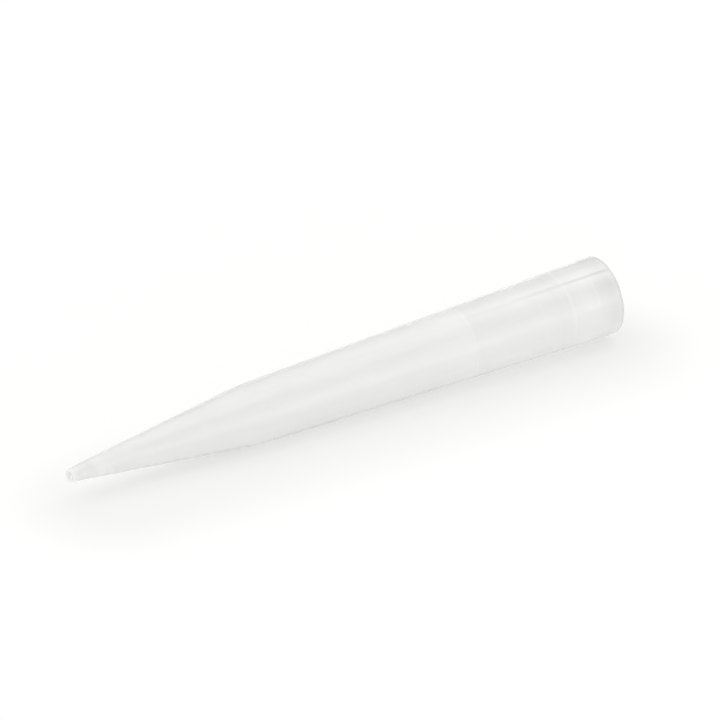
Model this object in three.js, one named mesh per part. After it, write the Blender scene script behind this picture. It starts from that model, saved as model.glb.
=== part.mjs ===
// Pipette tip for volumes up to 1000 microlitres.
//
// The tip is one injection moulding in natural polypropylene: a long hollow cone that is open at
// both ends. The wide end is a thin socket that is pushed on to the nose cone of a pipette, and the
// fine end dips into the liquid. Everything is a turned form around one axis, so the model is a
// single section that is revolved. Lengths are in millimetres. The section is drawn with x as the
// distance from the fine end and y as the radius, and the finished tip lies on the plane z = 0,
// resting on the straight taper of its body as a dropped tip does.

import * as THREE from 'three';

// Lengths along the axis
const TIP_LENGTH = 70;
const NOSE_LENGTH = 23;            // fine end to the knee where the taper changes
const SOCKET_DEPTH = 18.8;         // mouth to the internal shoulder

// Bore diameters, and the wall around each of them
const ORIFICE_BORE = 0.8;
const FINE_END_WALL = 0.35;
const KNEE_BORE = 5.7;
const KNEE_WALL = 0.6;
const SOCKET_MOUTH_BORE = 8.0;
const SOCKET_WALL = 0.5;
const SHOULDER_WIDTH = 0.25;       // ledge where the socket ends and the body bore begins

// Bends and edges
const OUTER_KNEE_RADIUS = 28;
const INNER_KNEE_RADIUS = 40;
const FINE_END_EDGE_RADIUS = 0.1;
const MOUTH_EDGE_RADIUS = 0.12;
const SHOULDER_EDGE_RADIUS = 0.08;
const LEAD_IN_WIDTH = 0.2;         // chamfer that guides the nose cone into the socket
const LEAD_IN_DEPTH = 0.45;

// Raised sealing rings inside the socket. The gap is counted from the mouth to the first ring's
// centre, and then from each ring's centre to the next.
const SEALING_RINGS = [
  { gap: 3.0, width: 0.6, height: 0.08 },
  { gap: 3.35, width: 0.6, height: 0.08 },
  { gap: 1.05, width: 0.4, height: 0.05 },
  { gap: 2.7, width: 0.4, height: 0.05 },
];

// Fineness of the faceted solid
const SEGMENTS = 40;               // around the axis
const KNEE_STEPS = 8;
const EDGE_STEPS = 3;
const RING_STEPS = 5;

// Outside corners of the section
const fineEndCorner = new THREE.Vector2(0, ORIFICE_BORE / 2 + FINE_END_WALL);
const outerKnee = new THREE.Vector2(NOSE_LENGTH, KNEE_BORE / 2 + KNEE_WALL);
const mouthCorner = new THREE.Vector2(TIP_LENGTH, SOCKET_MOUTH_BORE / 2 + SOCKET_WALL);

// Bore corners. The socket keeps its wall down to the shoulder, so its floor follows the outside.
const shoulderFromFineEnd = TIP_LENGTH - SOCKET_DEPTH;
const bodyShare = (shoulderFromFineEnd - NOSE_LENGTH) / (TIP_LENGTH - NOSE_LENGTH);
const outsideAtShoulder = outerKnee.clone().lerp(mouthCorner, bodyShare);
const leadInEdge = new THREE.Vector2(TIP_LENGTH, SOCKET_MOUTH_BORE / 2 + LEAD_IN_WIDTH);
const socketMouth = new THREE.Vector2(TIP_LENGTH - LEAD_IN_DEPTH, SOCKET_MOUTH_BORE / 2);
const socketFloor = new THREE.Vector2(shoulderFromFineEnd, outsideAtShoulder.y - SOCKET_WALL);
const shoulderEdge = new THREE.Vector2(shoulderFromFineEnd, socketFloor.y - SHOULDER_WIDTH);
const innerKnee = new THREE.Vector2(NOSE_LENGTH, KNEE_BORE / 2);
const orificeEdge = new THREE.Vector2(0, ORIFICE_BORE / 2);

// Points of the arc that rounds the corner between two straight runs
function roundedCorner(before, corner, after, radius, steps) {
  const back = before.clone().sub(corner).normalize();
  const ahead = after.clone().sub(corner).normalize();
  const halfAngle = Math.acos(back.dot(ahead)) / 2;
  const towardCentre = back.clone().add(ahead).normalize();
  const centre = corner.clone().addScaledVector(towardCentre, radius / Math.sin(halfAngle));
  const tangentLength = radius / Math.tan(halfAngle);
  const start = corner.clone().addScaledVector(back, tangentLength).sub(centre);
  const end = corner.clone().addScaledVector(ahead, tangentLength).sub(centre);
  const sweep = Math.atan2(start.cross(end), start.dot(end));
  return Array.from({ length: steps + 1 }, (_, i) =>
    start.clone().rotateAround(new THREE.Vector2(), (sweep * i) / steps).add(centre));
}

// A low rounded ridge on the socket wall, standing in towards the axis
function sealingRing(fromMouth, width, height) {
  const wall = socketFloor.clone().sub(socketMouth).normalize();
  const centre = (fromMouth - LEAD_IN_DEPTH) / -wall.x;
  return Array.from({ length: RING_STEPS + 1 }, (_, i) => {
    const across = i / RING_STEPS - 0.5;
    const ridge = socketMouth.clone().addScaledVector(wall, centre + width * across);
    ridge.y -= height * Math.cos(Math.PI * across);
    return ridge;
  });
}

// All the rings, in order from the mouth to the shoulder
function sealingRings() {
  let fromMouth = 0;
  return SEALING_RINGS.flatMap(({ gap, width, height }) => {
    fromMouth += gap;
    return sealingRing(fromMouth, width, height);
  });
}

// The section: up the outside to the mouth, then back down the bore to the orifice
const section = [
  ...roundedCorner(orificeEdge, fineEndCorner, outerKnee, FINE_END_EDGE_RADIUS, EDGE_STEPS),
  ...roundedCorner(fineEndCorner, outerKnee, mouthCorner, OUTER_KNEE_RADIUS, KNEE_STEPS),
  ...roundedCorner(outerKnee, mouthCorner, leadInEdge, MOUTH_EDGE_RADIUS, EDGE_STEPS),
  leadInEdge,
  socketMouth,
  ...sealingRings(),
  ...roundedCorner(socketMouth, socketFloor, shoulderEdge, SHOULDER_EDGE_RADIUS, EDGE_STEPS),
  ...roundedCorner(socketFloor, shoulderEdge, innerKnee, SHOULDER_EDGE_RADIUS, EDGE_STEPS),
  ...roundedCorner(shoulderEdge, innerKnee, orificeEdge, INNER_KNEE_RADIUS, KNEE_STEPS),
  orificeEdge,
];

// The closed section revolved about the lathe's axis, which is y, with a flat facet facing -z
const profile = [...section, section[0]].map(({ x, y }) => new THREE.Vector2(y, x));
const turnedForm = new THREE.LatheGeometry(profile, SEGMENTS, Math.PI / SEGMENTS);

const naturalPolypropylene = new THREE.MeshStandardMaterial({
  name: 'natural_polypropylene',
  color: new THREE.Color(0.93, 0.94, 0.93),
  roughness: 0.25,
  metalness: 0,
});

const tip = new THREE.Mesh(turnedForm, naturalPolypropylene);
tip.name = 'pipette_tip';
tip.rotation.z = -Math.PI / 2;     // the lathe's axis turned to lie along +x, mouth forward

// Lying on a facet of its body taper lifts the fine end clear of the bench
const facetDepth = Math.cos(Math.PI / SEGMENTS);
const bodyRise = (mouthCorner.y - outerKnee.y) * facetDepth;
const restingTilt = Math.atan2(bodyRise, TIP_LENGTH - NOSE_LENGTH);

const group = new THREE.Group();
group.name = 'pipette_tip_at_rest';
group.rotation.y = -restingTilt;
group.add(tip);

// The frame's origin is at the centre of the tip's footprint, on the plane it lies on
group.updateMatrixWorld(true);
const extent = new THREE.Box3().setFromObject(group, true);
group.position.set(-(extent.min.x + extent.max.x) / 2, 0, -extent.min.z);

export default group;
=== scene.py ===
import math

import bpy
from mathutils import Matrix, Vector


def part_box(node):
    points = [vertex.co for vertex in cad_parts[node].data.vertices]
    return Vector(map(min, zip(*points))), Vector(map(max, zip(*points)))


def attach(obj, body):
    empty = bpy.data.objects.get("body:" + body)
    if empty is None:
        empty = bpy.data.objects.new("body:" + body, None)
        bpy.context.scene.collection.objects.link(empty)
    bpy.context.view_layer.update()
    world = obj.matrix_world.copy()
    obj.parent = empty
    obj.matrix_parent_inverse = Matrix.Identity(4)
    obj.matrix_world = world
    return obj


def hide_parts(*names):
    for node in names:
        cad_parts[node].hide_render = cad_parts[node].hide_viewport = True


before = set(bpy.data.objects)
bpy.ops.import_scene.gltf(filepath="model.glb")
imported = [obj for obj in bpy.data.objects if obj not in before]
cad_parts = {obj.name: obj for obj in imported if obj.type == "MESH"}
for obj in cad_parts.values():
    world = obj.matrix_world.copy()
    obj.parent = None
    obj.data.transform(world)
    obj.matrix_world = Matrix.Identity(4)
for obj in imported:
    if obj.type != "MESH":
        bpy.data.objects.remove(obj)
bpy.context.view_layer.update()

# ---------------------------------------------------------------- the view of the bench
# The tip lies with its fine end towards the viewer, who stands well back with a long lens.
# The view comes first, because the lie of the tip is judged through it.
low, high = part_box("pipette_tip")
middle_of_tip = (low + high) / 2
turned_round = math.radians(33.9)        # away from square-on to the tip's length
looking_down = math.radians(27.9)
stand_off = 1.6
sensor_width = 36                        # millimetres, like the lens
lens_length = 732
aim_beside = 0.00237                     # the view is centred beside and above the tip's middle
aim_above = 0.00268
axis_height = 0.0037                     # of the tip's axis over the bench, halfway along

ahead = Vector((math.sin(turned_round) * math.cos(looking_down),
                math.cos(turned_round) * math.cos(looking_down),
                -math.sin(looking_down)))
to_the_right = Vector((math.cos(turned_round), -math.sin(turned_round), 0))
upwards = to_the_right.cross(ahead)
aim = Vector((0, 0, axis_height)) + to_the_right * aim_beside + upwards * aim_above

viewer = bpy.data.objects.new("viewer", bpy.data.cameras.new("viewer"))
bpy.context.scene.collection.objects.link(viewer)
viewer.data.sensor_width = sensor_width
viewer.data.lens = lens_length
viewer.data.clip_start = 0.05
viewer.data.clip_end = 20
viewer.matrix_world = Matrix.Translation(aim - ahead * stand_off) @ Matrix(
    (to_the_right, upwards, -ahead)).transposed().to_4x4()
bpy.context.scene.camera = viewer

# ---------------------------------------------------------------- the tip
# One injection moulding in natural polypropylene, clear in its thin socket and milky where the
# wall is thicker. A turned cavity shapes the outside and a polished core pin the bore.
tip_length = 0.070
nose_length = 0.023                      # fine end to the knee where the taper changes
socket_depth = 0.0188                    # mouth to the inner shoulder
orifice_bore = 0.0008
fine_end_wall = 0.00035
knee_bore = 0.0057
knee_wall = 0.0006
mouth_bore = 0.0080
socket_wall = 0.0005
shoulder_width = 0.00025
outer_knee_radius = 0.028
inner_knee_radius = 0.040
fine_end_edge = 0.0001
mouth_edge = 0.00012
shoulder_edge = 0.00008
lead_in_width = 0.0002
lead_in_depth = 0.00045
sealing_rings = (                        # distance from the mouth, width, height
    (0.00300, 0.0006, 0.00008),
    (0.00635, 0.0006, 0.00008),
    (0.00740, 0.0004, 0.00005),
    (0.01010, 0.0004, 0.00005),
)


def turned_corner(before, corner, after, radius, steps):
    """Points of the arc that a tool of this radius leaves between two straight cuts."""
    back = (before - corner).normalized()
    onward = (after - corner).normalized()
    half = math.acos(back.dot(onward)) / 2
    centre = corner + (back + onward).normalized() * (radius / math.sin(half))
    run = radius / math.tan(half)
    start = corner + back * run - centre
    end = corner + onward * run - centre
    sweep = math.atan2(start.x * end.y - start.y * end.x, start.dot(end))
    arc = []
    for i in range(steps + 1):
        turn = sweep * i / steps
        arc.append(centre + Vector((
            start.x * math.cos(turn) - start.y * math.sin(turn),
            start.x * math.sin(turn) + start.y * math.cos(turn))))
    return arc


fine_corner = Vector((0, orifice_bore / 2 + fine_end_wall))
outer_knee = Vector((nose_length, knee_bore / 2 + knee_wall))
mouth_corner = Vector((tip_length, mouth_bore / 2 + socket_wall))
shoulder_at = tip_length - socket_depth
body_share = (shoulder_at - nose_length) / (tip_length - nose_length)
outside_at_shoulder = outer_knee.lerp(mouth_corner, body_share)
lead_in = Vector((tip_length, mouth_bore / 2 + lead_in_width))
socket_mouth = Vector((tip_length - lead_in_depth, mouth_bore / 2))
socket_floor = Vector((shoulder_at, outside_at_shoulder.y - socket_wall))
shoulder_lip = Vector((shoulder_at, socket_floor.y - shoulder_width))
inner_knee = Vector((nose_length, knee_bore / 2))
orifice_edge = Vector((0, orifice_bore / 2))


def straight_run(start, end, pitch):
    """Points between two corners, not counting the corners, no further apart than the pitch."""
    count = max(1, math.ceil((end - start).length / pitch))
    return [start.lerp(end, i / count) for i in range(1, count)]


def ridge(from_mouth, width, height, steps=12):
    """A low round ridge on the socket's wall, left by a fine groove in the core pin."""
    down_the_wall = (socket_floor - socket_mouth).normalized()
    centre = (from_mouth - lead_in_depth) / -down_the_wall.x
    points = []
    for i in range(steps + 1):
        across = i / steps - 0.5
        point = socket_mouth + down_the_wall * (centre + width * across)
        points.append(point - Vector((0, height * math.cos(math.pi * across) ** 2)))
    return points


def joined(*runs, pitch=0.002):
    """One line through all the runs, with in-between points wherever a gap is long."""
    line = []
    for run in runs:
        if line:
            line += straight_run(line[-1], run[0], pitch)
        line += run
    return line


outer_line = joined(
    turned_corner(orifice_edge, fine_corner, outer_knee, fine_end_edge, 5),
    turned_corner(fine_corner, outer_knee, mouth_corner, outer_knee_radius, 24),
    turned_corner(outer_knee, mouth_corner, lead_in, mouth_edge, 6),
)
bore_line = joined(
    [lead_in],
    [socket_mouth],
    *[ridge(*ring) for ring in sealing_rings],
    turned_corner(socket_mouth, socket_floor, shoulder_lip, shoulder_edge, 5),
    turned_corner(socket_floor, shoulder_lip, inner_knee, shoulder_edge, 5),
    turned_corner(shoulder_lip, inner_knee, orifice_edge, inner_knee_radius, 24),
    [orifice_edge],
)
section = outer_line + bore_line

turns = 256
sharpest_smooth_bend = 28                # degrees; a sharper bend shows as an edge
corners = []
for point in section:
    for step in range(turns):
        angle = 2 * math.pi * step / turns
        corners.append((point.x, point.y * math.cos(angle), point.y * math.sin(angle)))
skins = []
for row in range(len(section)):
    here, there = row * turns, (row + 1) % len(section) * turns
    for step in range(turns):
        onward = (step + 1) % turns
        skins.append((here + step, here + onward, there + onward, there + step))

# It lies on the straight taper of its body, which lifts the fine end off the bench.
resting_tilt = math.atan2(mouth_corner.y - outer_knee.y, tip_length - nose_length)
lying = Matrix.Rotation(-resting_tilt, 4, "Y")
placed = [lying @ Vector(corner) for corner in corners]
back_end = min(point.x for point in placed)
front_end = max(point.x for point in placed)
shift = Vector((middle_of_tip.x - (back_end + front_end) / 2, 0,
                low.z - min(point.z for point in placed)))

tip_mesh = bpy.data.meshes.new("moulded_tip")
tip_mesh.from_pydata([point + shift for point in placed], [], skins)
tip_mesh.validate()
tip_mesh.shade_smooth()
tip_mesh.set_sharp_from_angle(angle=math.radians(sharpest_smooth_bend))
bore_side = tip_mesh.attributes.new("bore_side", "FLOAT", "FACE")
for skin in tip_mesh.polygons:
    bore_side.data[skin.index].value = skin.index >= len(outer_line) * turns
tip = bpy.data.objects.new("moulded_tip", tip_mesh)
bpy.context.scene.collection.objects.link(tip)


def fitting(tree, kind, sockets=None, **settings):
    """One node of a finish, with its settings made and each named socket set or fed."""
    node = tree.nodes.new(kind)
    for name, value in settings.items():
        setattr(node, name, value)
    for name, value in (sockets or {}).items():
        if isinstance(value, bpy.types.NodeSocket):
            tree.links.new(value, node.inputs[name])
        else:
            node.inputs[name].default_value = value
    return node


def worked(tree, operation, *values):
    """The outcome of one sum in a finish."""
    node = fitting(tree, "ShaderNodeMath", dict(enumerate(values)), operation=operation)
    return node.outputs[0]


def blended(tree, share, first, second, kind="RGBA"):
    """The first colour or number, turned into the second as the share goes from 0 to 1."""
    return fitting(tree, "ShaderNodeMix", {"Factor": share, "A": first, "B": second},
                   data_type=kind).outputs["Result"]


def eased(tree, value, start, end, before=0.0, after=1.0, ease="SMOOTHSTEP"):
    """A number that goes from one level to another as the value passes from start to end."""
    return fitting(tree, "ShaderNodeMapRange", {
        "Value": value, "From Min": start, "From Max": end,
        "To Min": before, "To Max": after}, interpolation_type=ease).outputs["Result"]


# The finish is worked out along and around the tip, so its place is read in the tip's own
# directions: along from the fine end, and out from the axis.
natural = bpy.data.materials.new("moulded_polypropylene")
natural.use_nodes = True
tree = natural.node_tree
tree.nodes.clear()
place = fitting(tree, "ShaderNodeTexCoord")
own_place = fitting(tree, "ShaderNodeMapping", {
    "Vector": place.outputs["Object"],
    "Location": shift,
    "Rotation": lying.to_euler(),
}, vector_type="TEXTURE").outputs["Vector"]
along = fitting(tree, "ShaderNodeSeparateXYZ", {"Vector": own_place}).outputs["X"]
in_bore = fitting(tree, "ShaderNodeAttribute", attribute_name="bore_side").outputs["Fac"]


def by_side(outside, bore):
    """One number for the outside and another for the bore."""
    return blended(tree, in_bore, outside, bore, kind="FLOAT")


past_shoulder = by_side(
    eased(tree, along, shoulder_at - 0.0012, shoulder_at + 0.0002),
    eased(tree, along, shoulder_at - 0.0001, shoulder_at + 0.0001))


def body_to_socket(body, socket):
    """One level for the body that goes over to another in the socket."""
    return eased(tree, past_shoulder, 0, 1, body, socket, ease="LINEAR")


# The melt cools in faint clouds, and the core pin draws faint lines along the bore.
clouds = fitting(tree, "ShaderNodeTexNoise", {
    "Vector": own_place, "Scale": 320, "Detail": 3, "Roughness": 0.55}).outputs["Fac"]
drawn_out = fitting(tree, "ShaderNodeVectorMath", {
    0: own_place, 1: (60, 1100, 1100)}, operation="MULTIPLY").outputs[0]
draw_lines = fitting(tree, "ShaderNodeTexNoise", {
    "Vector": drawn_out, "Scale": 1, "Detail": 2, "Roughness": 0.5}).outputs["Fac"]


def varied(base, *patterns):
    """The base value with each pattern's swing about its middle added."""
    for pattern, swing in patterns:
        centred = worked(tree, "SUBTRACT", pattern, 0.5)
        base = worked(tree, "MULTIPLY_ADD", centred, swing, base)
    return base


# Milkiness, from 0 for clear to 1 for none of the light straight through. The socket is clearer,
# most of all on its bore side. It is milkier again near the mouth, and thin at the fine end.
last_stretch = 0.0085                    # before the mouth
milkier_by, milkier_from_mouth = 0.18, 0.0035
fine_end_stretch, fine_end_share = 0.0035, 0.55
milkier = eased(tree, along, tip_length - last_stretch, tip_length - milkier_from_mouth,
                0.0, milkier_by)
outer_veil = worked(tree, "ADD", body_to_socket(0.80, 0.76), milkier)
bore_veil = body_to_socket(0.70, 0.35)
thin_end = eased(tree, along, 0, fine_end_stretch, fine_end_share, 1.0)
veil = worked(tree, "MULTIPLY", by_side(outer_veil, bore_veil), thin_end)

outer_roughness = body_to_socket(0.25, 0.08)
bore_roughness = body_to_socket(0.40, 0.20)
roughness = by_side(outer_roughness, bore_roughness)

clear_tint, cloud_tint = (0.92, 0.92, 0.91, 1), (0.89, 0.895, 0.883, 1)
tint = blended(tree, clouds, clear_tint, cloud_tint)

# Over the ridges and at the inner shoulder the colour is painted whiter, in patches: painted
# glints where the rings and the shoulder catch the light.
patches = fitting(tree, "ShaderNodeTexNoise", {
    "Vector": own_place, "Scale": 260, "Detail": 1, "Roughness": 0.5}).outputs["Fac"]
patchy = eased(tree, patches, 0.42, 0.62, 0.15, 1.0)
white = (1.0, 1.0, 0.99, 1)
ring_glint_strength = (1.0, 0.6, 0.3, 0.25)
reach_of_ring = 0.55                     # of the ring's width, to either side
painted_glint_places = [(from_mouth, width * reach_of_ring, whiteness)
                for (from_mouth, width, height), whiteness in zip(sealing_rings, ring_glint_strength)]
painted_glint_places.append((socket_depth + 0.0004, 0.00028, 0.6))      # the inner shoulder
for from_mouth, reach, whiteness in painted_glint_places:
    off_the_place = worked(tree, "ABSOLUTE",
                           worked(tree, "SUBTRACT", along, tip_length - from_mouth))
    in_reach = eased(tree, off_the_place, 0, reach, whiteness, 0.0)
    glint_share = worked(tree, "MULTIPLY", in_reach, patchy)
    tint = blended(tree, glint_share, tint, white)

# The last few millimetres to the mouth are painted greyer, and the rim darker still: painted
# shade at the mouth end.
mouth_painted_shade, rim_painted_shade = (0.73, 0.735, 0.725, 1), (0.60, 0.61, 0.60, 1)
near_mouth = eased(tree, along, tip_length - last_stretch, tip_length - 0.0012, ease="LINEAR")
tint = blended(tree, near_mouth, tint, mouth_painted_shade)
at_rim = eased(tree, along, tip_length - 0.0004, tip_length - 0.0001, ease="LINEAR")
tint = blended(tree, at_rim, tint, rim_painted_shade)

grain = fitting(tree, "ShaderNodeTexNoise", {"Vector": own_place, "Scale": 2600, "Detail": 2})
ripple = fitting(tree, "ShaderNodeBump", {
    "Strength": 0.04, "Distance": 0.00002, "Height": draw_lines})
surface = fitting(tree, "ShaderNodeBump", {
    "Strength": 0.03, "Distance": 0.00001, "Height": grain.outputs["Fac"],
    "Normal": ripple.outputs["Normal"]})
plastic = fitting(tree, "ShaderNodeBsdfPrincipled", {
    "Base Color": tint,
    "Roughness": varied(roughness, (draw_lines, 0.03)),
    "IOR": 1.49,
    "Specular IOR Level": 0.8,
    "Alpha": varied(veil, (clouds, 0.04), (draw_lines, 0.05)),
    "Subsurface Weight": 1.0,
    "Subsurface Radius": (1, 1, 1),
    "Subsurface Scale": 0.0006,
    "Normal": surface.outputs["Normal"],
})
fitting(tree, "ShaderNodeOutputMaterial", {"Surface": plastic.outputs[0]})
tip_mesh.materials.append(natural)

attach(tip, "root")
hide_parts("pipette_tip")

# ---------------------------------------------------------------- the bench
# A wide sheet of white laminate, matt, on which the tip lies. It glows where it is looked at,
# so that it reads as white, and less in a soft oval round the tip, a painted shadow, besides the
# tip's own shadow.
bench_half = 3.0
bench_gap = 0.00002                      # under the tip, so that the two never share a surface
bench_mesh = bpy.data.meshes.new("bench")
bench_mesh.from_pydata(
    [(-bench_half, -bench_half, 0), (bench_half, -bench_half, 0),
     (bench_half, bench_half, 0), (-bench_half, bench_half, 0)], [], [(0, 1, 2, 3)])
bench = bpy.data.objects.new("bench", bench_mesh)
bpy.context.scene.collection.objects.link(bench)
bench.location.z = -bench_gap

laminate = bpy.data.materials.new("white_bench")
laminate.use_nodes = True
tree = laminate.node_tree
tree.nodes.clear()
path = fitting(tree, "ShaderNodeLightPath")

# A ray looks, straight, off a gloss or through clear plastic, until it has lit something matt.
straight_or_gloss = worked(tree, "MAXIMUM", path.outputs["Is Camera Ray"],
                           path.outputs["Is Glossy Ray"])
any_kind = worked(tree, "MAXIMUM", straight_or_gloss, path.outputs["Is Transmission Ray"])
before_matt = worked(tree, "LESS_THAN", path.outputs["Diffuse Depth"], 0.5)
looking = worked(tree, "MULTIPLY", any_kind, before_matt)
mirrored = worked(tree, "MULTIPLY", looking, path.outputs["Is Glossy Ray"])

# The glow falls off in a soft oval round the tip, a painted shadow, and the gloss shows it as
# plain white.
shadow_oval_half = 0.031                        # half the length of the oval's straight part
shadow_oval_aside = 0.0035                      # of its middle, towards the viewer
glow_in_painted_shadow, glow_outside, glow_mirrored = 0.645, 0.725, 0.97
spot = fitting(tree, "ShaderNodeNewGeometry")
spot_parts = fitting(tree, "ShaderNodeSeparateXYZ", {"Vector": spot.outputs["Position"]})
past_ends = worked(tree, "SUBTRACT", worked(tree, "ABSOLUTE", spot_parts.outputs["X"]), shadow_oval_half)
both_ways = fitting(tree, "ShaderNodeCombineXYZ", {
    "X": worked(tree, "MAXIMUM", past_ends, 0.0),
    "Y": worked(tree, "ADD", spot_parts.outputs["Y"], shadow_oval_aside)})
away = fitting(tree, "ShaderNodeVectorMath", {0: both_ways.outputs[0]}, operation="LENGTH")
glow_with_painted_shadow = eased(tree, away.outputs["Value"], 0.003, 0.0145, glow_in_painted_shadow, glow_outside)
glow_seen = blended(tree, mirrored, glow_with_painted_shadow, glow_mirrored, kind="FLOAT")
glow = fitting(tree, "ShaderNodeEmission", {
    "Strength": worked(tree, "MULTIPLY", looking, glow_seen)})

# Where it is looked at, only a share of its own colour is left, or the two would be too much.
share_looked_at, share_off_for_gloss = 0.30, -0.15
share = eased(tree, looking, 0, 1, 1.0, share_looked_at, ease="LINEAR")
share_seen = worked(tree, "MULTIPLY_ADD", mirrored, share_off_for_gloss, share)
paint = blended(tree, share_seen, (0, 0, 0, 1), (0.90, 0.90, 0.875, 1))
matt = fitting(tree, "ShaderNodeBsdfDiffuse", {"Color": paint})
both = fitting(tree, "ShaderNodeAddShader", {0: matt.outputs[0], 1: glow.outputs[0]})
fitting(tree, "ShaderNodeOutputMaterial", {"Surface": both.outputs[0]})
bench_mesh.materials.append(laminate)

# ---------------------------------------------------------------- the light tent
# A white cloth tent on a frame. A low panel behind the viewer and the roof are lit, the cloth
# between them is dim, and the far wall gets only what spills over. The roof is sewn of two
# widths, and the dark seam between them is what the glossy socket shows as a thin line.
front_level, front_top = 1.9, 8          # levels of light, and degrees up from the viewer's side
gap_level, gap_from, gap_to = 0.4, 50, 64
roof_level, seam_middle = 2.1, 101
seam_level, seam_width, seam_edge = 0.1, 6.5, 2.0
wall_level, wall_from = 0.7, 142
tent_cloth = (
    (0, front_level), (front_top, front_level),
    (gap_from, gap_level), (gap_to, gap_level),
    (seam_middle - seam_width / 2 - seam_edge, roof_level),
    (seam_middle - seam_width / 2, seam_level),
    (seam_middle + seam_width / 2, seam_level),
    (seam_middle + seam_width / 2 + seam_edge, roof_level),
    (wall_from, wall_level), (180, wall_level),
)
room = bpy.data.worlds.new("light_tent")
room.use_nodes = True
bpy.context.scene.world = room
tree = room.node_tree
tree.nodes.clear()
direction = fitting(tree, "ShaderNodeTexCoord")
parts = fitting(tree, "ShaderNodeSeparateXYZ", {"Vector": direction.outputs["Generated"]})
nearer = worked(tree, "MULTIPLY", parts.outputs["Y"], -1.0)
angle_up = worked(tree, "ARCTAN2", parts.outputs["Z"], nearer)
cloth = fitting(tree, "ShaderNodeValToRGB", {
    "Fac": worked(tree, "DIVIDE", angle_up, math.pi)})
stops = cloth.color_ramp.elements
while len(stops) < len(tent_cloth):
    stops.new(0.5)
for stop, (degrees, level) in zip(stops, tent_cloth):
    stop.position = degrees / 180
    stop.color = (level, level, level, 1)
path = fitting(tree, "ShaderNodeLightPath")
whole = blended(tree, path.outputs["Is Camera Ray"], cloth.outputs["Color"], (1, 1, 1, 1))
shell = fitting(tree, "ShaderNodeBackground", {"Color": whole})
fitting(tree, "ShaderNodeOutputWorld", {"Surface": shell.outputs[0]})

bpy.context.scene.view_settings.view_transform = "Standard"
